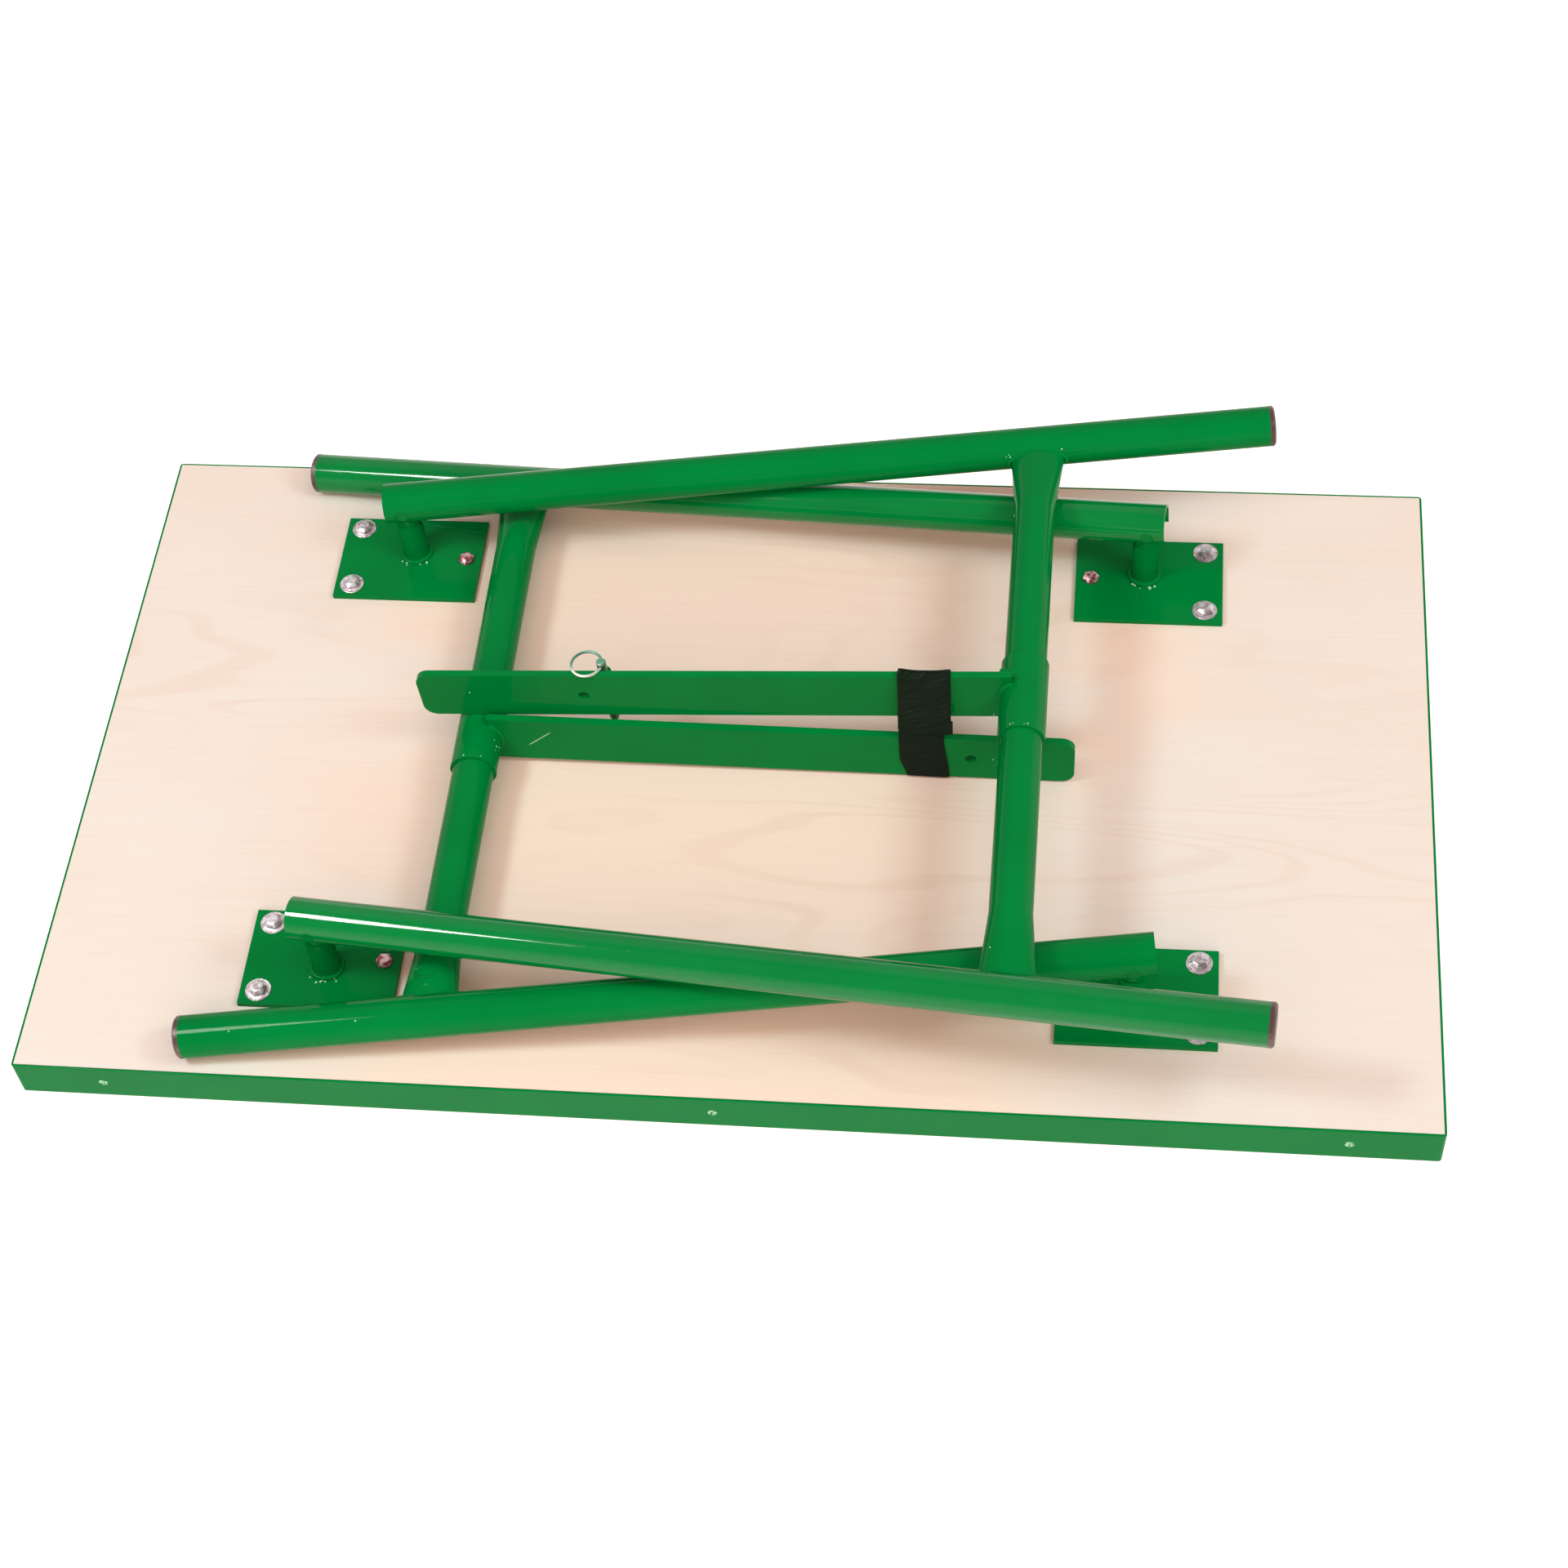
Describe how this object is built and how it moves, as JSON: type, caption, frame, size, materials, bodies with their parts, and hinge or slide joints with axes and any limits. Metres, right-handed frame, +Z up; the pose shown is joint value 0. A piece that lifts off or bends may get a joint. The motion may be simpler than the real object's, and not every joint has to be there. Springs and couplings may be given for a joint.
{
  "type": "folding workbench",
  "caption": "Folding workbench, folded flat on its work face: steel-edged plywood top, hinged tube leg frames with crossbars, flat locking braces, ring pin and tie strap.",
  "frame": {"origin": "under the middle of the work face, on the floor that the folded bench lies on", "axes": "+X along the bench towards the lower frame's hinges, +Y from front to rear, +Z up from the work face to the folded legs"},
  "size_m": [1.1024, 0.6324, 0.1632],
  "materials": {
    "plywood": "sanded, clear oiled",
    "green_paint": "gloss enamel",
    "zinc_steel": "bright zinc",
    "cap_plastic": "moulded",
    "pin_steel": "bright drawn",
    "strap_fabric": "woven hook and loop"
  },
  "bodies": {
    "top": {"worktop_board": "plywood", "edge_strip_front": "green_paint", "edge_strip_rear": "green_paint", "edge_strip_left": "green_paint", "edge_strip_right": "green_paint", "edge_screws": "zinc_steel", "plate_bolts_large": "zinc_steel", "plate_bolts_small": "zinc_steel", "plate_washers": "zinc_steel", "hinge_plate_left_front": "green_paint", "hinge_stub_left_front": "green_paint", "hinge_plate_left_rear": "green_paint", "hinge_stub_left_rear": "green_paint", "hinge_plate_right_front": "green_paint", "hinge_stub_right_front": "green_paint", "hinge_plate_right_rear": "green_paint", "hinge_stub_right_rear": "green_paint"},
    "upper_frame": {"upper_leg_front": "green_paint", "upper_hinge_pin_front": "green_paint", "upper_foot_cap_front": "cap_plastic", "upper_leg_rear": "green_paint", "upper_hinge_pin_rear": "green_paint", "upper_foot_cap_rear": "cap_plastic", "upper_crossbar": "green_paint"},
    "lower_frame": {"lower_leg_front": "green_paint", "lower_hinge_pin_front": "green_paint", "lower_foot_cap_front": "cap_plastic", "lower_leg_rear": "green_paint", "lower_hinge_pin_rear": "green_paint", "lower_foot_cap_rear": "cap_plastic", "lower_crossbar": "green_paint"},
    "upper_brace": {"upper_brace_bar": "green_paint", "upper_brace_sleeve": "green_paint", "pin_keeper": "green_paint", "strap": "strap_fabric"},
    "lower_brace": {"lower_brace_bar": "green_paint", "lower_brace_sleeve": "green_paint"},
    "lock_pin": {"lock_pin": "pin_steel"},
    "pull_ring": {"pull_ring": "pin_steel"}
  },
  "joints": [
    {"name": "upper_frame_swing", "type": "hinge", "parent": "top", "child": "upper_frame", "pos_m": [-0.315, 0, 0.109], "axis": [0, -1, 0], "range_deg": [0, 93], "deforming": ["strap"]},
    {"name": "lower_frame_swing", "type": "hinge", "parent": "top", "child": "lower_frame", "pos_m": [0.315, 0, 0.109], "axis": [0, 1, 0], "range_deg": [0, 11.16]},
    {"name": "upper_brace_swing", "type": "hinge", "parent": "upper_frame", "child": "upper_brace", "pos_m": [0.2223, 0, 0.13649], "axis": [0, 1, 0], "range_deg": [0, 180], "deforming": ["strap"]},
    {"name": "lower_brace_swing", "type": "hinge", "parent": "lower_frame", "child": "lower_brace", "pos_m": [-0.22156, 0, 0.06964], "axis": [0, -1, 0], "range_deg": [0, 55.8]},
    {"name": "lock_pin_pull", "type": "slide", "parent": "upper_brace", "child": "lock_pin", "axis": [-0.0506, 0, 0.9987], "range_m": [0, 0.055]},
    {"name": "pull_ring_flip", "type": "hinge", "parent": "lock_pin", "child": "pull_ring", "pos_m": [-0.11476, 0.017, 0.14585], "axis": [0, 1, 0], "range_deg": [0, 100]}
  ],
  "couplings": [
    {"joint": "lower_frame_swing", "follows": "upper_frame_swing", "ratio": 0.12},
    {"joint": "lower_brace_swing", "follows": "upper_frame_swing", "ratio": 0.6}
  ]
}
